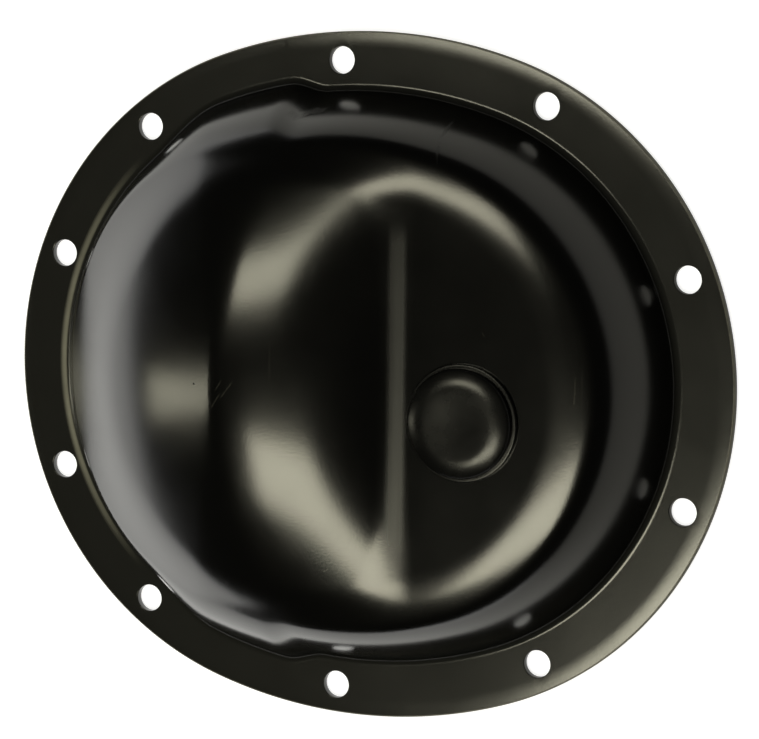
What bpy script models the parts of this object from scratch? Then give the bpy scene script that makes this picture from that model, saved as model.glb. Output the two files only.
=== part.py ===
# Differential cover: a pressed steel cover with a flat bolting flange, a ring gear
# bulge and a push-in rubber filler plug. It lies flange down with its outer side up.
# X runs along the longer side of the flange, Y across it, Z out of the cover.
# The origin is the middle of the flange outline, on the sealing face.

import math

import bmesh
import bpy
from mathutils import Matrix, Vector

mm = 0.001

# Sheet and flange
sheet_thickness = 2.9 * mm
flange_end_radius = 117.65 * mm
flange_end_spacing = 37.0 * mm
flange_side_bow = 3.0 * mm
flange_land = 18.0 * mm

# Bolt holes, mirrored about the X axis
hole_radius = 4.8 * mm
hole_edge_distance = 9.9 * mm
hole_directions = (18.3, 55.0, 94.6, 134.4, 161.9)

# Bulge of the dome's foot between two bolts, on both sides
foot_bulge = 4.3 * mm
bulge_reach = 26.0 * mm
bulge_from = 97.5
bulge_full_from = 105.0
bulge_full_to = 121.0
bulge_to = 138.0

# Dome wall
root_fillet = 6.0 * mm
wall_angle = 63.0
shoulder_blend = 36.0 * mm
shoulder_narrowing = 2.3

# Flat with the plug, right of the crease
plateau_height = 40.3 * mm
crease_x = 28.5 * mm
crease_blend = 1.8 * mm

# Ring gear bulge, left of the crease
face_angle = 28.3
crest_height = 59.5 * mm
crest_radius = 158.0 * mm
crest_left_x = -32.5 * mm
crest_blend = 4.5 * mm
fall_angle = 15.5
fall_radius = 155.0 * mm
fall_blend = 0.8 * mm

# Filler plug
plug_x = 53.3 * mm
plug_y = -8.7 * mm
plug_hole_radius = 16.5 * mm
plug_lip_radius = 20.0 * mm
plug_lip_thickness = 1.2 * mm
plug_head_height = 5.8 * mm
plug_head_radius = 18.6 * mm
plug_rim_rounding = 2.8 * mm
plug_dish_radius = 13.5 * mm
plug_dish_depth = 0.7 * mm
plug_barb_overhang = 1.3 * mm
plug_barb_length = 6.5 * mm
plug_wall = 3.0 * mm
fit_clearance = 0.3 * mm

# Fineness of the solids
spokes = 120
fillet_rings = 4
wall_rings = 4
inner_rings = 13
hole_segments = 28
plug_segments = 48

half_spacing = flange_end_spacing / 2
flange_side_radius = (
    half_spacing ** 2 / (2 * flange_side_bow) + flange_end_radius + flange_side_bow / 2
)
side_centre_y = flange_end_radius + flange_side_bow - flange_side_radius
tangent_angle = math.atan2(-side_centre_y, half_spacing)
wall_slope = math.tan(math.radians(wall_angle))


def clear_scene():
    for item in list(bpy.data.objects):
        bpy.data.objects.remove(item, do_unlink=True)


def smooth_step(value, low, high):
    t = min(max((value - low) / (high - low), 0.0), 1.0)
    return t * t * (3 - 2 * t)


def blend_low(a, b, width):
    # The lower of two surfaces, with their edge rounded over a band
    h = max(width - abs(a - b), 0.0)
    return min(a, b) - h * h / (4 * width)


def blend_high(a, b, width):
    return -blend_low(-a, -b, width)


# Plan of the flange: two end arcs joined by two flatter side arcs

def edge_depth(x, y):
    # How far a point lies inside the flange's outer edge
    x = abs(x)
    y = abs(y)
    if math.atan2(y, x - half_spacing) < tangent_angle:
        return flange_end_radius - math.hypot(x - half_spacing, y)
    return flange_side_radius - math.hypot(x, y - side_centre_y)


def foot_depth(x, y):
    # How far a point lies inside the foot of the dome
    inside = edge_depth(x, y) - flange_land
    direction = math.degrees(math.atan2(abs(y), x))
    rise = smooth_step(direction, bulge_from, bulge_full_from)
    fall = 1 - smooth_step(direction, bulge_full_to, bulge_to)
    fade = 1 - smooth_step(inside, -foot_bulge, bulge_reach)
    return inside + foot_bulge * rise * fall * fade


def reach(centre, direction, depth_at, depth):
    # Distance from a centre, along a direction, to the line that lies this deep
    near = 0.0
    far = flange_end_radius * 2 + flange_end_spacing
    for _ in range(40):
        middle = (near + far) / 2
        point = centre + direction * middle
        if depth_at(point.x, point.y) > depth:
            near = middle
        else:
            far = middle
    return near


# Form of the press die

def wall_height(depth):
    # Straight wall at the wall angle, rising from the root fillet
    if depth <= 0:
        return sheet_thickness
    angle = math.radians(wall_angle)
    fillet_width = root_fillet * math.sin(angle)
    if depth < fillet_width:
        return sheet_thickness + root_fillet - math.sqrt(root_fillet ** 2 - depth ** 2)
    return sheet_thickness + root_fillet * (1 - math.cos(angle)) + (depth - fillet_width) * wall_slope


def crest_section(y):
    # Cylinder over the ring gear, about an axis along X
    drop = math.sqrt(max(crest_radius ** 2 - y * y, 0.0))
    return crest_height - crest_radius + drop


def left_drop(x):
    # Left end of the bulge, as a fall below its crest: a straight start, then an arc
    along = crest_left_x - x
    start = math.sin(math.radians(fall_angle))
    if along <= 0:
        return -along * math.tan(math.radians(fall_angle))
    sine = min(start + along / fall_radius, 0.98)
    return -fall_radius * (math.cos(math.asin(start)) - math.cos(math.asin(sine)))


def gear_face(x):
    return plateau_height + (crease_x - x) * math.tan(math.radians(face_angle))


def die_height(x, y):
    top = blend_low(crest_section(y), gear_face(x), crest_blend)
    top = blend_high(top, plateau_height, crease_blend)
    top += blend_low(left_drop(x), 0.0, fall_blend)
    share = (top - sheet_thickness) / (plateau_height - sheet_thickness)
    share = min(max(share, 0.03), 1.0)
    wall = wall_height(foot_depth(x, y))
    blend = shoulder_blend * share ** shoulder_narrowing
    return max(blend_low(wall, top, blend), sheet_thickness)


def paint(name, colour, roughness, metallic):
    material = bpy.data.materials.new(name)
    material.use_nodes = True
    shader = material.node_tree.nodes["Principled BSDF"]
    shader.inputs["Base Color"].default_value = (*colour, 1.0)
    shader.inputs["Roughness"].default_value = roughness
    shader.inputs["Metallic"].default_value = metallic
    return material


def add_object(name, bm, material=None):
    mesh = bpy.data.meshes.new(name)
    bm.to_mesh(mesh)
    bm.free()
    item = bpy.data.objects.new(name, mesh)
    bpy.context.scene.collection.objects.link(item)
    if material:
        mesh.materials.append(material)
        mesh.shade_smooth()
        mesh.set_sharp_from_angle(angle=math.radians(40))
    else:
        item.hide_render = True
        item.display_type = "WIRE"
    return item


def cut(item, cutter):
    modifier = item.modifiers.new(cutter.name, "BOOLEAN")
    modifier.operation = "DIFFERENCE"
    modifier.solver = "EXACT"
    modifier.object = cutter


def ring_depths():
    # Rings of the blank between the foot of the dome and its shoulder
    fillet_width = root_fillet * math.sin(math.radians(wall_angle))
    shoulder_width = shoulder_blend / wall_slope
    for i in range(fillet_rings + 1):
        yield fillet_width * i / fillet_rings
    for i in range(1, wall_rings + 1):
        yield fillet_width + shoulder_width * i / wall_rings


def pressed_skin():
    # The blank's edge loop is drawn inwards ring by ring and lifted to the die's height
    hub = Vector((crease_x, 0.0, 0.0))
    directions = []
    for i in range(spokes):
        angle = 2 * math.pi * i / spokes
        directions.append(Vector((math.cos(angle), math.sin(angle), 0.0)))

    rings = [[hub + d * reach(hub, d, edge_depth, 0.0) for d in directions]]
    for depth in ring_depths():
        rings.append([hub + d * reach(hub, d, foot_depth, depth) for d in directions])
    last = rings[-1]
    for i in range(1, inner_rings):
        rings.append([hub.lerp(point, 1 - i / inner_rings) for point in last])

    bm = bmesh.new()
    loop = bmesh.ops.create_circle(bm, segments=spokes, radius=flange_end_radius)["verts"]
    for vert, point in zip(loop, rings[0]):
        vert.co = (point.x, point.y, sheet_thickness)
    edges = list(bm.edges)
    for ring in rings[1:]:
        edges, loop = draw_in(bm, edges, loop, ring)
    centre = bmesh.ops.contextual_create(bm, geom=edges)["faces"]
    middle = bmesh.ops.poke(bm, faces=centre)["verts"][0]
    middle.co = (hub.x, hub.y, die_height(hub.x, hub.y))
    bmesh.ops.recalc_face_normals(bm, faces=bm.faces)
    bmesh.ops.dissolve_limit(
        bm, angle_limit=math.radians(0.05), verts=bm.verts, edges=bm.edges, delimit=set()
    )
    return bm


def draw_in(bm, edges, loop, ring):
    place = {}
    for vert, point in zip(loop, ring):
        place[vert] = point
    partner = {}
    extruded = bmesh.ops.extrude_edge_only(bm, edges=edges)["geom"]
    new_edges = [g for g in extruded if isinstance(g, bmesh.types.BMEdge)]
    new_verts = [g for g in extruded if isinstance(g, bmesh.types.BMVert)]
    for new_vert in new_verts:
        for edge in new_vert.link_edges:
            old_vert = edge.other_vert(new_vert)
            if old_vert in place:
                partner[old_vert] = new_vert
    next_loop = []
    for old_vert in loop:
        point = place[old_vert]
        new_vert = partner[old_vert]
        new_vert.co = (point.x, point.y, die_height(point.x, point.y))
        next_loop.append(new_vert)
    rim = [e for e in new_edges if all(v in set(next_loop) for v in e.verts)]
    return rim, next_loop


def bolt_hole_cutter():
    bm = bmesh.new()
    origin = Vector((0.0, 0.0, 0.0))
    for angle in hole_directions:
        for side in (1, -1):
            turn = math.radians(angle) * side
            direction = Vector((math.cos(turn), math.sin(turn), 0.0))
            place = direction * reach(origin, direction, edge_depth, hole_edge_distance)
            place.z = sheet_thickness / 2
            bmesh.ops.create_cone(
                bm,
                segments=hole_segments,
                radius1=hole_radius,
                radius2=hole_radius,
                depth=sheet_thickness * 3,
                cap_ends=True,
                matrix=Matrix.Translation(place),
            )
    return add_object("bolt_hole_cutter", bm)


def plug_hole_cutter():
    bm = bmesh.new()
    bmesh.ops.create_cone(
        bm,
        segments=plug_segments,
        radius1=plug_hole_radius,
        radius2=plug_hole_radius,
        depth=sheet_thickness * 3,
        cap_ends=True,
        matrix=Matrix.Translation((plug_x, plug_y, plateau_height - sheet_thickness / 2)),
    )
    return add_object("plug_hole_cutter", bm)


def make_cover():
    cover = add_object("cover_shell", pressed_skin(), paint("black_paint", (0.02, 0.02, 0.02), 0.35, 0.0))
    shell = cover.modifiers.new("sheet", "SOLIDIFY")
    shell.thickness = sheet_thickness
    shell.offset = -1
    shell.use_even_offset = True
    shell.use_quality_normals = True
    cut(cover, bolt_hole_cutter())
    cut(cover, plug_hole_cutter())
    return cover


def plug_profile():
    # Half section of the plug as radius and height above the plateau, from the middle
    # of its face, over the rim and lip, down the neck and barb and up into its hollow
    top = plug_head_height
    neck = plug_hole_radius - fit_clearance
    sheet_under = -sheet_thickness - fit_clearance
    barb = plug_hole_radius + plug_barb_overhang
    tip = sheet_under - plug_barb_length
    bore = neck - plug_wall
    points = [(0.0, top - plug_dish_depth)]
    points.append((plug_dish_radius * 0.8, top - plug_dish_depth))
    points.append((plug_dish_radius * 0.93, top - plug_dish_depth * 0.6))
    points.append((plug_dish_radius, top))
    rim_centre = plug_head_radius - plug_rim_rounding
    for i in range(5):
        turn = math.radians(90 - 20 * i)
        radius = rim_centre + plug_rim_rounding * math.cos(turn)
        points.append((radius, top - plug_rim_rounding * (1 - math.sin(turn))))
    points.append((plug_head_radius, plug_lip_thickness + fit_clearance))
    points.append((plug_lip_radius - 0.4 * mm, plug_lip_thickness + fit_clearance))
    points.append((plug_lip_radius, plug_lip_thickness * 0.6 + fit_clearance))
    points.append((plug_lip_radius, fit_clearance))
    points.append((neck, fit_clearance))
    points.append((neck, sheet_under))
    points.append((barb, sheet_under))
    points.append((barb, sheet_under - plug_lip_thickness))
    points.append((neck - plug_wall / 3, tip))
    points.append((bore, tip))
    points.append((bore, sheet_under))
    points.append((0.0, sheet_under))
    return points


def make_plug():
    bm = bmesh.new()
    verts = [bm.verts.new((radius, 0.0, height)) for radius, height in plug_profile()]
    for first, second in zip(verts, verts[1:]):
        bm.edges.new((first, second))
    bmesh.ops.spin(
        bm,
        geom=list(bm.verts) + list(bm.edges),
        cent=(0.0, 0.0, 0.0),
        axis=(0.0, 0.0, 1.0),
        angle=2 * math.pi,
        steps=plug_segments,
        use_merge=True,
    )
    bmesh.ops.remove_doubles(bm, verts=bm.verts, dist=0.00001)
    bmesh.ops.recalc_face_normals(bm, faces=bm.faces)
    plug = add_object("fill_plug", bm, paint("black_rubber", (0.02, 0.02, 0.02), 0.5, 0.0))
    plug.location = (plug_x, plug_y, plateau_height)
    return plug


def main():
    clear_scene()
    make_cover()
    make_plug()


main()
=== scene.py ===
# Looks of the differential cover: the pressed sheet in black paint and its rubber plug,
# lying flange down on a white table under three softboxes
import math

import bmesh
import bpy
from mathutils import Matrix, Vector


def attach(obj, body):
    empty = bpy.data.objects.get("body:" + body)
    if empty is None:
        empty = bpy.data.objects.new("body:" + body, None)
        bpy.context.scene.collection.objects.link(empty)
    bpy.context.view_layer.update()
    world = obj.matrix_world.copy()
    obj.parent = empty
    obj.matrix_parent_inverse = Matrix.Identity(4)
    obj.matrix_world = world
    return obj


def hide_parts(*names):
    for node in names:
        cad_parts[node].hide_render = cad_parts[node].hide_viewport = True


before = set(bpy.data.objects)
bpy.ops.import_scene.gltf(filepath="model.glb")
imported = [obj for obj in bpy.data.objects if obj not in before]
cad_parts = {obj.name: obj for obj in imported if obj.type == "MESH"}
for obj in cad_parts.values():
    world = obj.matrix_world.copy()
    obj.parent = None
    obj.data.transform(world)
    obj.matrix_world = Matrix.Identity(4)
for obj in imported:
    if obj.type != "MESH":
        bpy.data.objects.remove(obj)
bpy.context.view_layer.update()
mm = 0.001
sharpAngle = math.radians(38)


def rampStep(value, low, high):
    t = min(max((value - low) / (high - low), 0.0), 1.0)
    return t * t * (3 - 2 * t)


def lowerOf(a, b, width):
    # the lower of two surfaces, with the edge between them rounded
    h = max(width - abs(a - b), 0.0)
    return min(a, b) - h * h / (4 * width)


def higherOf(a, b, width):
    return -lowerOf(-a, -b, width)


def makePiece(name, bm, material):
    mesh = bpy.data.meshes.new(name)
    bmesh.ops.scale(bm, vec=(mm, mm, mm), verts=bm.verts)
    bm.to_mesh(mesh)
    bm.free()
    piece = bpy.data.objects.new(name, mesh)
    bpy.context.scene.collection.objects.link(piece)
    if material:
        mesh.materials.append(material)
        mesh.shade_smooth()
        mesh.set_sharp_from_angle(angle=sharpAngle)
    return piece


# cover: sizes in millimetres and degrees
coverSizes = {
    "sheet": 2.9,
    "endRadius": 117.65,
    "endSpacing": 37.0,
    "sideBow": 3.0,
    "land": 17.6,
    "footBulge": 4.3,
    "bulgeTurns": (97.5, 105.0, 121.0, 138.0),
    "bulgeReach": 26.0,
    "rootFillet": 4.0,
    "wallAngle": 74.3,
    "shoulderBlend": 28.2,
    "shoulderNarrowing": 1.31,
    "crownDepth": 35.55,
    "crownLean": -0.19,
    "crownRadius": 46.6,
    "crownFading": 1.78,
    "plateau": 40.3,
    "creaseX": 28.8,
    "creaseBlend": 3.0,
    "faceAngle": 29.4,
    "faceHalf": 85.0,
    "faceSharpness": 2.56,
    "crest": 59.5,
    "crestRadius": 184.0,
    "crestBlend": 13.2,
    "fallX": -30.6,
    "fallAngle": 19.4,
    "fallRadius": 225.0,
    "fallSteepening": 228.0,
    "fallBlend": 1.2,
    "foldSoftening": 3.0,
    "holeRadius": 4.8,
    "holeEdge": 9.9,
    "holeTurns": (18.3, 55.0, 94.6, 134.4, 161.9),
    "rimRound": 0.45,
    "holeRound": 0.35,
    "spokes": 320,
    "flangeRings": 3,
    "filletRings": 9,
    "wallRings": 22,
    "innerRings": 50,
    "holeSteps": 48,
    "fallCuts": (-1.6, -0.8, 0.0, 0.8, 1.6),
    "creaseCuts": (-3.2, -1.6, 1.6, 3.2),
}


def flangeDepth(x, y):
    # how far inside the outer edge of the flange: end arcs joined by flatter side arcs
    half = coverSizes["endSpacing"] / 2
    endRadius = coverSizes["endRadius"]
    bow = coverSizes["sideBow"]
    sideRadius = half ** 2 / (2 * bow) + endRadius + bow / 2
    sideCentre = endRadius + bow - sideRadius
    x = abs(x)
    y = abs(y)
    if math.atan2(y, x - half) < math.atan2(-sideCentre, half):
        return endRadius - math.hypot(x - half, y)
    return sideRadius - math.hypot(x, y - sideCentre)


def footDepth(x, y):
    # how far inside the foot of the dome, which bulges between two bolts on each side
    start, full, fullEnd, end = coverSizes["bulgeTurns"]
    inside = flangeDepth(x, y) - coverSizes["land"]
    turn = math.degrees(math.atan2(abs(y), x))
    bulge = rampStep(turn, start, full) * (1 - rampStep(turn, fullEnd, end))
    fade = 1 - rampStep(inside, -coverSizes["footBulge"], coverSizes["bulgeReach"])
    return inside + coverSizes["footBulge"] * bulge * fade


def wallHeight(depth):
    sheet = coverSizes["sheet"]
    fillet = coverSizes["rootFillet"]
    angle = math.radians(coverSizes["wallAngle"])
    width = fillet * math.sin(angle)
    if depth < width:
        return sheet + fillet - math.sqrt(fillet ** 2 - max(depth, 0.0) ** 2)
    return sheet + fillet * (1 - math.cos(angle)) + (depth - width) * math.tan(angle)


def leftDrop(x):
    # fall of the left end below the crest: an arc that steepens towards the root
    along = coverSizes["fallX"] - x
    radius = coverSizes["fallRadius"]
    slope = math.radians(coverSizes["fallAngle"])
    if along <= 0:
        return -along * math.tan(slope)
    sine = min(math.sin(slope) + along / radius, 0.98)
    steepening = along ** 4 / (4 * coverSizes["fallSteepening"] ** 3)
    return -radius * (math.cos(slope) - math.cos(math.asin(sine))) - steepening


def topHeight(x, y):
    # crest over the ring gear, its slanting face, the plateau beyond the crease
    plateau = coverSizes["plateau"]
    radius = coverSizes["crestRadius"]
    crest = coverSizes["crest"] - radius + math.sqrt(max(radius ** 2 - y * y, 0.0))
    slope = math.tan(math.radians(coverSizes["faceAngle"]))
    slope /= 1 + abs(y / coverSizes["faceHalf"]) ** coverSizes["faceSharpness"]
    face = plateau + slope * (coverSizes["creaseX"] - x)
    top = lowerOf(crest, face, coverSizes["crestBlend"])
    top = higherOf(top, plateau, coverSizes["creaseBlend"])
    fold = coverSizes["fallBlend"] + coverSizes["foldSoftening"] * (y / 50.0) ** 2
    return top + lowerOf(leftDrop(x), 0.0, fold)


def dieHeight(x, y):
    depth = footDepth(x, y)
    if depth <= 0:
        return coverSizes["sheet"]
    top = topHeight(x, y)
    share = (top - coverSizes["sheet"]) / (coverSizes["plateau"] - coverSizes["sheet"])
    share = min(max(share, 0.03), 1.0)
    crown = coverSizes["crownDepth"] + coverSizes["crownLean"] * (top - coverSizes["plateau"])
    over = max(crown - depth, 0.0)
    top -= over ** 2 / (2 * coverSizes["crownRadius"]) * share ** coverSizes["crownFading"]
    blend = coverSizes["shoulderBlend"] * share ** coverSizes["shoulderNarrowing"]
    return max(lowerOf(wallHeight(depth), top, blend), coverSizes["sheet"])


def innerHeight(x, y):
    # underside of the sheet, straight below the outer face
    step = 0.1
    alongX = (dieHeight(x + step, y) - dieHeight(x - step, y)) / (2 * step)
    alongY = (dieHeight(x, y + step) - dieHeight(x, y - step)) / (2 * step)
    below = coverSizes["sheet"] * math.sqrt(1 + alongX ** 2 + alongY ** 2)
    return max(dieHeight(x, y) - below, 0.0)


def reach(centre, direction, depthAt, depth):
    # the point at a given depth inside an outline, found by halving
    near = 0.0
    far = 300.0
    for _ in range(34):
        middle = (near + far) / 2
        point = centre + direction * middle
        if depthAt(point.x, point.y) > depth:
            near = middle
        else:
            far = middle
    return centre + direction * near


def blankRings(hub):
    # rings of the flat blank, from the outer edge over the foot of the dome to the hub
    spokes = coverSizes["spokes"]
    turns = [2 * math.pi * i / spokes for i in range(spokes)]
    directions = [Vector((math.cos(t), math.sin(t), 0.0)) for t in turns]
    outer = [reach(hub, d, flangeDepth, 0.0) for d in directions]
    foot = [reach(hub, d, footDepth, 0.0) for d in directions]
    for i in range(coverSizes["flangeRings"] + 1):
        yield [a.lerp(b, i / coverSizes["flangeRings"]) for a, b in zip(outer, foot)]
    angle = math.radians(coverSizes["wallAngle"])
    filletWidth = coverSizes["rootFillet"] * math.sin(angle)
    wallWidth = 2 * coverSizes["shoulderBlend"] / math.tan(angle)
    filletRings = coverSizes["filletRings"]
    wallRings = coverSizes["wallRings"]
    depths = [filletWidth * i / filletRings for i in range(1, filletRings + 1)]
    depths += [filletWidth + wallWidth * i / wallRings for i in range(1, wallRings + 1)]
    for depth in depths:
        last = [reach(hub, d, footDepth, depth) for d in directions]
        yield last
    for i in range(1, coverSizes["innerRings"]):
        yield [hub.lerp(point, 1 - i / coverSizes["innerRings"]) for point in last]


def drawIn(bm, edges, loop, ring):
    # one more ring of the blank, inside the last one
    extruded = bmesh.ops.extrude_edge_only(bm, edges=edges)["geom"]
    newVerts = {g for g in extruded if isinstance(g, bmesh.types.BMVert)}
    newEdges = [g for g in extruded if isinstance(g, bmesh.types.BMEdge)]
    nextLoop = []
    for vert in loop:
        partners = [edge.other_vert(vert) for edge in vert.link_edges]
        nextLoop.append([p for p in partners if p in newVerts][0])
    for vert, point in zip(nextLoop, ring):
        vert.co = point
    rim = [edge for edge in newEdges if all(vert in newVerts for vert in edge.verts)]
    return rim, nextLoop


def makeBlank():
    # the flat sheet, cut once more along the fold and the crease
    hub = Vector((coverSizes["creaseX"], 0.0, 0.0))
    bm = bmesh.new()
    loop = bmesh.ops.create_circle(bm, segments=coverSizes["spokes"], radius=100.0)["verts"]
    edges = list(bm.edges)
    for i, ring in enumerate(blankRings(hub)):
        if i == 0:
            for vert, point in zip(loop, ring):
                vert.co = point
        else:
            edges, loop = drawIn(bm, edges, loop, ring)
    face = bmesh.ops.contextual_create(bm, geom=edges)["faces"]
    bmesh.ops.poke(bm, faces=face)
    for offset in coverSizes["fallCuts"]:
        cutAt(bm, coverSizes["fallX"] + offset)
    for offset in coverSizes["creaseCuts"]:
        cutAt(bm, coverSizes["creaseX"] + offset)
    bmesh.ops.recalc_face_normals(bm, faces=bm.faces)
    return bm


def cutAt(bm, x):
    geom = list(bm.verts) + list(bm.edges) + list(bm.faces)
    bmesh.ops.bisect_plane(bm, geom=geom, dist=0.05, plane_co=(x, 0, 0), plane_no=(1, 0, 0))


def pressBlank():
    # outer and inner face of the pressed sheet, joined and rounded along the outer edge
    bm = makeBlank()
    if sum(face.normal.z for face in bm.faces) < 0:
        bmesh.ops.reverse_faces(bm, faces=bm.faces)
    outerRim = [edge for edge in bm.edges if edge.is_boundary]
    copy = bmesh.ops.duplicate(bm, geom=list(bm.verts) + list(bm.edges) + list(bm.faces))
    inner = [g for g in copy["geom"] if isinstance(g, bmesh.types.BMVert)]
    innerFaces = [g for g in copy["geom"] if isinstance(g, bmesh.types.BMFace)]
    innerSet = set(inner)
    for vert in bm.verts:
        if vert in innerSet:
            vert.co.z = innerHeight(vert.co.x, vert.co.y)
        else:
            vert.co.z = dieHeight(vert.co.x, vert.co.y)
    bmesh.ops.reverse_faces(bm, faces=innerFaces)
    innerRim = [edge for edge in bm.edges if edge.is_boundary and edge.verts[0] in innerSet]
    bmesh.ops.bridge_loops(bm, edges=outerRim + innerRim)
    bmesh.ops.bevel(
        bm,
        geom=outerRim + innerRim,
        offset=coverSizes["rimRound"],
        offset_type="OFFSET",
        affect="EDGES",
        segments=3,
        profile=0.5,
        material=-1,
        clamp_overlap=True,
    )
    bmesh.ops.recalc_face_normals(bm, faces=bm.faces)
    return bm


def turnProfile(bm, place, profile, steps):
    # a half section turned about an upright axis
    verts = [bm.verts.new((radius, 0.0, height)) for radius, height in profile]
    for first, second in zip(verts, verts[1:]):
        bm.edges.new((first, second))
    edges = [edge for vert in verts for edge in vert.link_edges]
    before = set(bm.verts) - set(verts)
    bmesh.ops.spin(
        bm,
        geom=verts + list(set(edges)),
        cent=(0, 0, 0),
        axis=(0, 0, 1),
        angle=2 * math.pi,
        steps=steps,
        use_merge=True,
    )
    made = [vert for vert in bm.verts if vert not in before]
    bmesh.ops.remove_doubles(bm, verts=made, dist=0.001)
    made = [vert for vert in bm.verts if vert not in before]
    bmesh.ops.translate(bm, vec=place, verts=made)


def punchProfile():
    # half section of a punched hole, with its edges slightly drawn in
    r = coverSizes["holeRadius"]
    e = coverSizes["holeRound"]
    t = coverSizes["sheet"]
    lip = [(r + e * (1 - math.cos(a)), t - e * (1 - math.sin(a))) for a in (0.0, 0.5, 1.0, 1.45)]
    foot = [(radius, t - height) for radius, height in reversed(lip)]
    return [(0.0, -2.0), (r + e * 1.3, -2.0)] + foot + lip + [(r + e * 1.3, t + 2.0), (0.0, t + 2.0)]


def boltCutter():
    bm = bmesh.new()
    origin = Vector((0.0, 0.0, 0.0))
    for turn in coverSizes["holeTurns"]:
        for side in (1, -1):
            angle = math.radians(turn) * side
            direction = Vector((math.cos(angle), math.sin(angle), 0.0))
            place = reach(origin, direction, flangeDepth, coverSizes["holeEdge"])
            turnProfile(bm, place, punchProfile(), coverSizes["holeSteps"])
    bmesh.ops.recalc_face_normals(bm, faces=bm.faces)
    return makePiece("boltCutter", bm, None)


def plugCutter():
    bm = bmesh.new()
    place = Vector((plugSizes["x"], plugSizes["y"], coverSizes["plateau"]))
    bmesh.ops.create_cone(
        bm,
        segments=96,
        radius1=plugSizes["holeRadius"],
        radius2=plugSizes["holeRadius"],
        depth=coverSizes["sheet"] * 4,
        cap_ends=True,
        matrix=Matrix.Translation(place),
    )
    return makePiece("plugCutter", bm, None)


def markDepths(cover):
    # how far each point lies in from the flange's edge and from the dome's foot, for the paint
    for name, depthAt in (("fromEdge", flangeDepth), ("fromFoot", footDepth)):
        layer = cover.data.attributes.new(name, "FLOAT", "POINT")
        depths = [depthAt(vert.co.x / mm, vert.co.y / mm) for vert in cover.data.vertices]
        layer.data.foreach_set("value", depths)


def makeCover(material):
    cover = makePiece("pressed_cover", pressBlank(), material)
    cutters = [boltCutter(), plugCutter()]
    for cutter in cutters:
        modifier = cover.modifiers.new(cutter.name, "BOOLEAN")
        modifier.operation = "DIFFERENCE"
        modifier.solver = "EXACT"
        modifier.object = cutter
    graph = bpy.context.evaluated_depsgraph_get()
    cover.data = bpy.data.meshes.new_from_object(cover.evaluated_get(graph))
    cover.modifiers.clear()
    for cutter in cutters:
        bpy.data.objects.remove(cutter, do_unlink=True)
    cover.data.shade_smooth()
    cover.data.set_sharp_from_angle(angle=sharpAngle)
    markDepths(cover)
    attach(cover, "root")
    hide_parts("cover_shell")
    return cover


# plug: sizes in millimetres, heights from the plateau
plugSizes = {
    "x": 53.3,
    "y": -8.7,
    "holeRadius": 16.5,
    "lipRadius": 20.0,
    "lipThickness": 1.2,
    "headHeight": 5.8,
    "headRadius": 18.6,
    "rimRound": 1.8,
    "rimLean": 27.0,
    "sideLean": 86.0,
    "dishRadius": 11.5,
    "dishDepth": 0.3,
    "barbOverhang": 1.3,
    "barbLength": 6.5,
    "wall": 3.0,
    "gap": 0.3,
    "steps": 120,
}


def plugProfile():
    # half section from the middle of the face, over the rim, down to the barb and inside
    s = plugSizes
    top = s["headHeight"]
    neck = s["holeRadius"] - s["gap"]
    under = -coverSizes["sheet"] - s["gap"]
    lean = math.radians(s["rimLean"])
    rimCentre = s["headRadius"] - s["rimRound"]
    rimStart = rimCentre + s["rimRound"] * math.sin(lean)
    leanWidth = rimStart - s["dishRadius"]
    leanDrop = math.tan(lean) * leanWidth / 2
    points = [(0.0, top - s["dishDepth"])]
    shares = [i / 12 for i in range(1, 13)]
    for share in shares:
        points.append((s["dishRadius"] * share, top - s["dishDepth"] * (1 - share ** 2) ** 2))
    for share in shares:
        points.append((s["dishRadius"] + leanWidth * share, top - leanDrop * share ** 2))
    rimHeight = top - leanDrop - s["rimRound"] * math.cos(lean)
    for i in range(1, 9):
        turn = lean + (math.radians(s["sideLean"]) - lean) * i / 8
        radius = rimCentre + s["rimRound"] * math.sin(turn)
        points.append((radius, rimHeight + s["rimRound"] * math.cos(turn)))
    points.append((s["headRadius"], s["lipThickness"] + s["gap"]))
    edge = s["lipThickness"] / 2
    for i in range(5):
        turn = math.radians(90 - 22.5 * i)
        radius = s["lipRadius"] - edge + edge * math.cos(turn)
        points.append((radius, s["gap"] + edge + edge * math.sin(turn)))
    points.append((s["lipRadius"], s["gap"]))
    points.append((neck, s["gap"]))
    points.append((neck, under))
    points.append((neck + s["gap"] + s["barbOverhang"], under))
    points.append((neck + s["gap"] + s["barbOverhang"], under - s["lipThickness"]))
    points.append((neck - s["wall"] / 3, under - s["barbLength"]))
    points.append((neck - s["wall"], under - s["barbLength"]))
    points.append((neck - s["wall"], under))
    points.append((0.0, under))
    return points


def makePlug(material):
    bm = bmesh.new()
    place = Vector((plugSizes["x"], plugSizes["y"], coverSizes["plateau"]))
    turnProfile(bm, place, plugProfile(), plugSizes["steps"])
    bmesh.ops.recalc_face_normals(bm, faces=bm.faces)
    plug = makePiece("rubber_plug", bm, material)
    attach(plug, "root")
    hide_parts("fill_plug")
    return plug


class Wire:
    # an output of a material's node that can stand in a sum
    def __init__(self, finish, socket):
        self.finish = finish
        self.socket = socket

    def __add__(self, other):
        return self.finish.maths("ADD", self, other)

    def __radd__(self, other):
        return self.finish.maths("ADD", other, self)

    def __sub__(self, other):
        return self.finish.maths("SUBTRACT", self, other)

    def __rsub__(self, other):
        return self.finish.maths("SUBTRACT", other, self)

    def __mul__(self, other):
        return self.finish.maths("MULTIPLY", self, other)

    def __rmul__(self, other):
        return self.finish.maths("MULTIPLY", other, self)

    def __pow__(self, other):
        return self.finish.maths("POWER", self, other)


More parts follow.
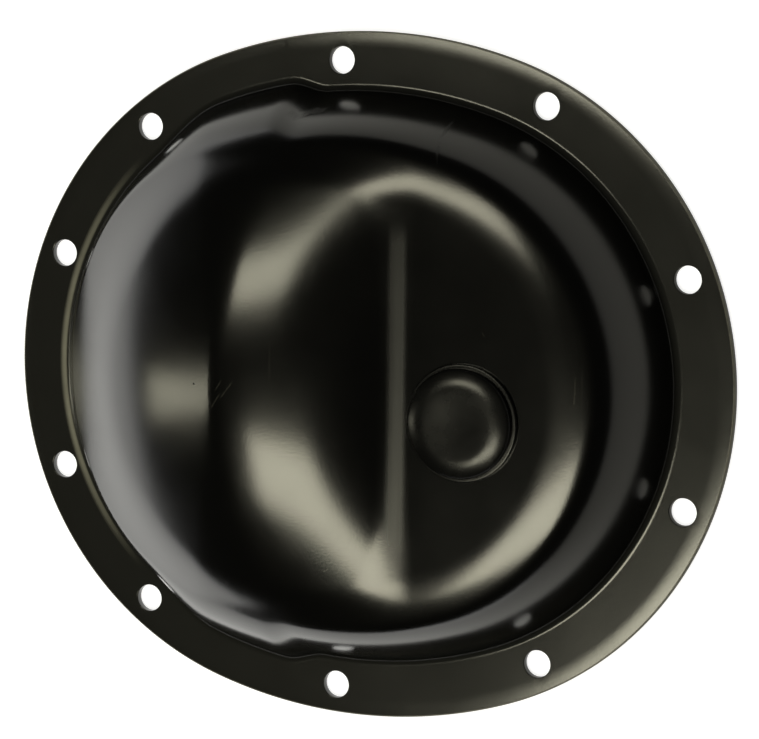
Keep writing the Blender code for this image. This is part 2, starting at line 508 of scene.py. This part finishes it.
class Finish:
    # a material that is written as plain expressions
    def __init__(self, name):
        self.material = bpy.data.materials.new(name)
        self.material.use_nodes = True
        self.tree = self.material.node_tree
        self.shader = self.tree.nodes["Principled BSDF"]

    def feed(self, node, sockets):
        for key, value in sockets.items():
            if isinstance(value, Wire):
                self.tree.links.new(value.socket, node.inputs[key])
            else:
                node.inputs[key].default_value = value

    def node(self, kind, settings, sockets, output=0):
        node = self.tree.nodes.new(kind)
        for key, value in settings.items():
            setattr(node, key, value)
        self.feed(node, sockets)
        return Wire(self, node.outputs[output])

    def maths(self, operation, a, b=0.0):
        return self.node("ShaderNodeMath", {"operation": operation}, {0: a, 1: b})

    def upToOne(self, value):
        return self.maths("MINIMUM", value, 1.0)

    def place(self):
        return self.node("ShaderNodeTexCoord", {}, {}, "Object")

    def axes(self, place):
        split = self.tree.nodes.new("ShaderNodeSeparateXYZ")
        self.tree.links.new(place.socket, split.inputs[0])
        return [Wire(self, output) for output in split.outputs]

    def noise(self, place, scale, detail, roughness):
        sockets = {"Vector": place, "Scale": scale, "Detail": detail, "Roughness": roughness}
        return self.node("ShaderNodeTexNoise", {}, sockets)

    def rise(self, value, low, high):
        # 0 below low, 1 above high, smooth between
        sockets = {"Value": value, "From Min": low, "From Max": high, "To Min": 0.0, "To Max": 1.0}
        return self.node("ShaderNodeMapRange", {"interpolation_type": "SMOOTHSTEP"}, sockets)

    def mix(self, factor, a, b):
        return self.node("ShaderNodeMix", {"data_type": "RGBA"}, {0: factor, 6: a, 7: b}, 2)

    def carried(self, name):
        # a length in millimetres that the piece's mesh carries
        return self.node("ShaderNodeAttribute", {"attribute_name": name}, {}, "Fac")

    def streak(self, x, y, start, end, width):
        # 1 on a thin straight mark between two points in millimetres, fading out at its ends
        run = Vector(end) - Vector(start)
        length = run.length * mm
        run.normalize()
        fromX = x - start[0] * mm
        fromY = y - start[1] * mm
        onward = fromX * run.x + fromY * run.y
        aside = self.maths("ABSOLUTE", fromX * run.y - fromY * run.x)
        across = 1 - self.rise(aside, 0.25 * width * mm, width * mm)
        begun = self.rise(onward, 0.0, 0.25 * length)
        ended = self.rise(onward, 0.75 * length, length)
        return across * begun * (1 - ended)

    def streaks(self, x, y, marks):
        total = 0.0
        for start, end, width in marks:
            total = total + self.streak(x, y, start, end, width)
        return total

    def spot(self, x, y, centre, radius):
        away = self.maths("SQRT", (x - centre[0] * mm) ** 2 + (y - centre[1] * mm) ** 2)
        return 1 - self.rise(away, 0.4 * radius * mm, radius * mm)

    def specks(self, place, scale, size, rarity):
        # small dots in a few cells of a grid, none in the rest
        sockets = {"Vector": place, "Scale": scale}
        away = self.node("ShaderNodeTexVoronoi", {}, sockets, "Distance")
        pick = self.node("ShaderNodeTexVoronoi", {}, sockets, "Color")
        return (1 - self.rise(away, 0.3 * size, size)) * self.rise(pick, rarity, rarity + 0.02)

    def bump(self, height, distance):
        sockets = {"Height": height, "Strength": 1.0, "Distance": distance}
        return self.node("ShaderNodeBump", {}, sockets)


# paint: colours are linear, lengths in metres, places and widths of marks in millimetres;
# a noise has its scale, detail and roughness, the lint its scale, size and rarity
paintLook = {
    "colour": (0.0016, 0.0016, 0.0014, 1.0),
    "flangeColour": (0.0100, 0.0100, 0.0086, 1.0),
    "flangeFade": (0.0032, 0.0050),
    "domeFade": (0.0040, 0.0060),
    "upperFade": (0.0020, 0.0024),
    "worn": (0.13, 0.125, 0.10, 1.0),
    "wornWidth": 0.7,
    "wornLeast": 0.25,
    "wornPatches": 1.1,
    # pale dust along the left foot with a painted highlight, the left lamp's glow, in the same colour
    "dustAndGlow": (0.15, 0.145, 0.11, 1.0),
    "dustAndGlowWidth": 2.6,
    "dustAndGlowFade": (-0.118, -0.085),
    "dustAndGlowLeast": 0.35,
    "dustAndGlowPatches": 0.9,
    "domeRoughness": 0.185,
    "flangeRoughness": 0.20,
    "creaseRoughness": 0.12,
    "creaseMiddle": 0.0295,
    "creaseFade": (0.0016, 0.0040),
    "creaseEnds": (0.048, 0.060),
    "markRoughness": 0.3,
    "blotchRoughness": 0.08,
    "gritRoughness": 0.05,
    "reflect": 0.5,
    "blotch": (38.0, 4.0, 0.6),
    "patches": (240.0, 3.0, 0.6),
    "grit": (2600.0, 2.0, 0.5),
    "peel": (1500.0, 2.0, 0.5),
    "peelDepth": 0.000017,
    "gritHeight": 0.2,
    "lint": (150.0, 0.045, 0.93),
    "lintPaleness": 0.8,
    "scratchPaleness": 0.2,
    "seamPaleness": 0.06,
    "lineDepth": 1.2,
    "stainDepth": 2.5,
    "pitDepth": 2.0,
    "scratches": (
        ((-31.5, -7.5), (-27.0, -1.0), 0.35),
        ((-27.5, -3.5), (-22.3, 3.3), 0.3),
        ((-29.5, -1.0), (-26.5, 3.5), 0.25),
        ((92.9, 9.2), (92.4, -2.3), 0.4),
        ((60.0, 22.0), (61.2, 20.5), 0.25),
        ((5.0, -62.0), (7.5, -60.5), 0.25),
    ),
    "seams": (
        ((-10.2, 21.0), (-9.6, -12.0), 0.45),
        ((95.0, 13.0), (94.4, -14.0), 0.5),
    ),
    "stains": (
        ((38.6, 92.0), (39.6, 84.0), 0.75),
        ((39.6, 85.0), (42.4, 75.5), 0.7),
        ((-19.5, 93.0), (-13.0, 90.0), 1.6),
        ((-14.5, 91.2), (-9.0, 94.5), 1.8),
        ((-11.0, 93.0), (-5.5, 94.0), 1.6),
    ),
    "pit": ((-38.7, 1.0), 0.45),
}


def makePaint():
    look = paintLook
    paint = Finish("black_paint_finish")
    place = paint.place()
    x, y, z = paint.axes(place)
    onFlange = 1 - paint.rise(z, *look["flangeFade"])
    onDome = paint.rise(z, *look["domeFade"])
    upperSide = paint.rise(z, *look["upperFade"])
    blotch = paint.noise(place, *look["blotch"])
    peel = paint.noise(place, *look["peel"])
    grit = paint.noise(place, *look["grit"])
    patchy = paint.noise(place, *look["patches"])

    # wear on the outer edge; along the foot at the left end, pale dust with a painted highlight in it: the
    # left lamp's glow painted into the colour
    fromEdge = paint.carried("fromEdge")
    fromFoot = paint.carried("fromFoot")
    atEdge = 1 - paint.rise(fromEdge, 0.2 * look["wornWidth"], look["wornWidth"])
    wear = atEdge * (look["wornLeast"] + look["wornPatches"] * patchy)
    leftEnd = 1 - paint.rise(x, *look["dustAndGlowFade"])
    nearFoot = paint.rise(fromFoot, -look["dustAndGlowWidth"], -0.6) * (1 - paint.rise(fromFoot, -0.2, 0.8))
    dustAndGlowShare = nearFoot * leftEnd * upperSide * (look["dustAndGlowLeast"] + look["dustAndGlowPatches"] * blotch)

    # marks on the dome, and the duller paint in the crease
    scratched = paint.streaks(x, y, look["scratches"])
    seamed = paint.streaks(x, y, look["seams"])
    stained = paint.streaks(x, y, look["stains"]) * onDome
    scored = look["scratchPaleness"] * scratched + look["seamPaleness"] * seamed
    scored = scored * patchy * onDome
    pit = paint.spot(x, y, *look["pit"]) * onDome
    lint = paint.specks(place, *look["lint"])
    fromCrease = paint.maths("ABSOLUTE", x - look["creaseMiddle"])
    inCrease = 1 - paint.rise(fromCrease, *look["creaseFade"])
    inCrease = inCrease * (1 - paint.rise(paint.maths("ABSOLUTE", y), *look["creaseEnds"]))

    colour = paint.mix(onFlange, look["colour"], look["flangeColour"])
    colour = paint.mix(paint.upToOne(wear), colour, look["worn"])
    # painted highlight: the left lamp's glow on the dust by the left foot, mixed into the colour
    colour = paint.mix(paint.upToOne(dustAndGlowShare), colour, look["dustAndGlow"])
    colour = paint.mix(paint.upToOne(scored), colour, look["worn"])
    colour = paint.mix(lint * look["lintPaleness"], colour, look["worn"])
    colour = paint.mix(pit, colour, (0.0, 0.0, 0.0, 1.0))
    rough = look["domeRoughness"] + (look["flangeRoughness"] - look["domeRoughness"]) * onFlange
    rough = rough + (blotch - 0.5) * look["blotchRoughness"] + (grit - 0.5) * look["gritRoughness"]
    rough = rough + look["markRoughness"] * paint.upToOne(0.3 * stained + pit + wear + dustAndGlowShare)
    rough = rough + look["creaseRoughness"] * inCrease
    height = peel + look["gritHeight"] * grit - look["lineDepth"] * (seamed + scratched) * patchy
    height = height - look["stainDepth"] * stained - look["pitDepth"] * pit
    paint.feed(paint.shader, {
        "Base Color": colour,
        "Roughness": rough,
        "Specular IOR Level": look["reflect"],
        "Normal": paint.bump(height, look["peelDepth"]),
    })
    return paint.material


# rubber: colours are linear, lengths in metres
rubberLook = {
    "colour": (0.0026, 0.0026, 0.0024, 1.0),
    "roughness": 0.27,
    "reflect": 0.36,
    "blotch": (120.0, 5.0, 0.6),
    "blotchRoughness": 0.15,
    "fine": (1500.0, 2.0, 0.5),
    "fineShare": 0.2,
    "depth": 0.00003,
}


def makeRubber():
    look = rubberLook
    rubber = Finish("rubber_finish")
    place = rubber.place()
    blotch = rubber.noise(place, *look["blotch"])
    fine = rubber.noise(place, *look["fine"])
    rubber.feed(rubber.shader, {
        "Base Color": look["colour"],
        "Roughness": look["roughness"] + (blotch - 0.5) * look["blotchRoughness"],
        "Specular IOR Level": look["reflect"],
        "Normal": rubber.bump(blotch + look["fineShare"] * fine, look["depth"]),
    })
    return rubber.material


# studio: lengths in metres, angles in degrees
studio = {
    "floorSize": 40.0,
    "floorDrop": 0.0002,
    "floorRoughness": 0.9,
    "floorColour": (0.50, 0.50, 0.50, 1.0),
    "floorGlow": 0.78,
    "floorMirror": 0.12,
    "floorMirrorGain": 1.15,
    # painted reflection: direction and fade of the table's glow as seen in gloss
    "glowTowards": (-0.9, -0.5),
    "glowFade": (-0.12, 0.2),
    "roomShade": 0.01,
    "boxes": (
        ("topBox", (-0.213, 0.300, 0.929), 1.3, 0.540, 0.240, 9.2),
        ("lowBox", (0.0192, -0.3980, 0.9172), 1.3, 0.600, 0.360, 11.5),
        ("leftBox", (-0.9236, -0.1358, 0.3583), 1.3, 0.130, 0.620, 4.4),
    ),
    "fillHeight": 1.6,
    "fillSize": 2.4,
    "fillRadiance": 0.6,
    "lampTint": (1.0, 0.965, 0.74),
}


def makeFloor():
    bm = bmesh.new()
    bmesh.ops.create_grid(bm, x_segments=1, y_segments=1, size=studio["floorSize"] / 2 / mm)
    bmesh.ops.translate(bm, vec=(0, 0, -studio["floorDrop"] / mm), verts=bm.verts)
    paper = Finish("white_table")
    path = paper.tree.nodes.new("ShaderNodeLightPath")
    x, y = paper.axes(paper.place())[:2]
    # painted reflection: what gloss mirrors of the table glows lighter towards the left end and the low
    # side, standing in for a table lit unevenly
    alongX, alongY = studio["glowTowards"]
    paintedGlowShare = paper.rise(alongX * x + alongY * y, *studio["glowFade"])
    seen = Wire(paper, path.outputs["Is Camera Ray"]) * studio["floorGlow"]
    mirror = studio["floorMirror"] + studio["floorMirrorGain"] * paintedGlowShare
    mirrored = Wire(paper, path.outputs["Is Glossy Ray"]) * mirror
    through = Wire(paper, path.outputs["Is Transmission Ray"]) * studio["floorGlow"]
    paper.feed(paper.shader, {
        "Base Color": studio["floorColour"],
        "Roughness": studio["floorRoughness"],
        "Specular IOR Level": 0.0,
        "Emission Color": seen + mirrored + through,
        "Emission Strength": 1.0,
    })
    floor = makePiece("table", bm, paper.material)


def makeWorld():
    # white where the camera sees past the table, a dark room for everything else
    world = bpy.data.worlds.new("room")
    world.use_nodes = True
    bpy.context.scene.world = world
    tree = world.node_tree
    background = tree.nodes["Background"]
    path = tree.nodes.new("ShaderNodeLightPath")
    strength = tree.nodes.new("ShaderNodeMath")
    strength.operation = "MAXIMUM"
    tree.links.new(path.outputs["Is Camera Ray"], strength.inputs[0])
    strength.inputs[1].default_value = studio["roomShade"]
    background.inputs["Color"].default_value = (1.0, 1.0, 1.0, 1.0)
    tree.links.new(strength.outputs[0], background.inputs["Strength"])


def makeLamps():
    for name, direction, distance, width, height, radiance in studio["boxes"]:
        lamp = bpy.data.lights.new(name, "AREA")
        lamp.shape = "RECTANGLE"
        lamp.size = width
        lamp.size_y = height
        lamp.energy = radiance * math.pi * width * height
        lamp.color = studio["lampTint"]
        holder = bpy.data.objects.new(name, lamp)
        bpy.context.scene.collection.objects.link(holder)
        away = Vector(direction).normalized()
        holder.location = away * distance
        if name == "leftBox":
            holder.rotation_euler = away.to_track_quat("Z", "Y").to_euler()
        else:
            holder.rotation_euler = (math.atan2(-away.y, away.z), 0.0, 0.0)
    # an overhead light for the table and the dull parts, which no gloss mirrors
    fill = bpy.data.lights.new("overhead", "AREA")
    fill.shape = "SQUARE"
    fill.size = studio["fillSize"]
    fill.energy = studio["fillRadiance"] * math.pi * studio["fillSize"] ** 2
    overhead = bpy.data.objects.new("overhead", fill)
    overhead.location.z = studio["fillHeight"]
    overhead.visible_glossy = False
    bpy.context.scene.collection.objects.link(overhead)


# camera: the photograph's own viewpoint, lengths in metres, angles in degrees
cameraSet = {
    "aim": (0.00542, 0.00265, 0.0),
    "distance": 1.1074,
    "azimuth": 15.75,
    "tilt": 24.51,
    "roll": -0.6,
    "focal": 3158.0,
    "frameWidth": 759.0,
}


def makeCamera():
    s = cameraSet
    tilt = math.radians(s["tilt"])
    azimuth = math.radians(s["azimuth"])
    back = Vector((math.sin(tilt) * math.cos(azimuth), math.sin(tilt) * math.sin(azimuth), math.cos(tilt)))
    right = Vector((0.0, 1.0, 0.0)).cross(back).normalized()
    up = back.cross(right)
    roll = math.radians(s["roll"])
    turnedRight = right * math.cos(roll) - up * math.sin(roll)
    turnedUp = right * math.sin(roll) + up * math.cos(roll)
    lens = bpy.data.cameras.new("camera")
    lens.sensor_fit = "HORIZONTAL"
    lens.sensor_width = 36.0
    lens.lens = s["focal"] / s["frameWidth"] * lens.sensor_width
    camera = bpy.data.objects.new("camera", lens)
    bpy.context.scene.collection.objects.link(camera)
    axes = Matrix((turnedRight, turnedUp, back)).transposed().to_4x4()
    camera.matrix_world = Matrix.Translation(Vector(s["aim"]) + back * s["distance"]) @ axes
    bpy.context.scene.camera = camera


print("camera")
makeCamera()
print("cover")
makeCover(makePaint())
print("plug")
makePlug(makeRubber())
print("studio")
makeFloor()
makeWorld()
makeLamps()
bpy.context.scene.view_settings.view_transform = "Standard"
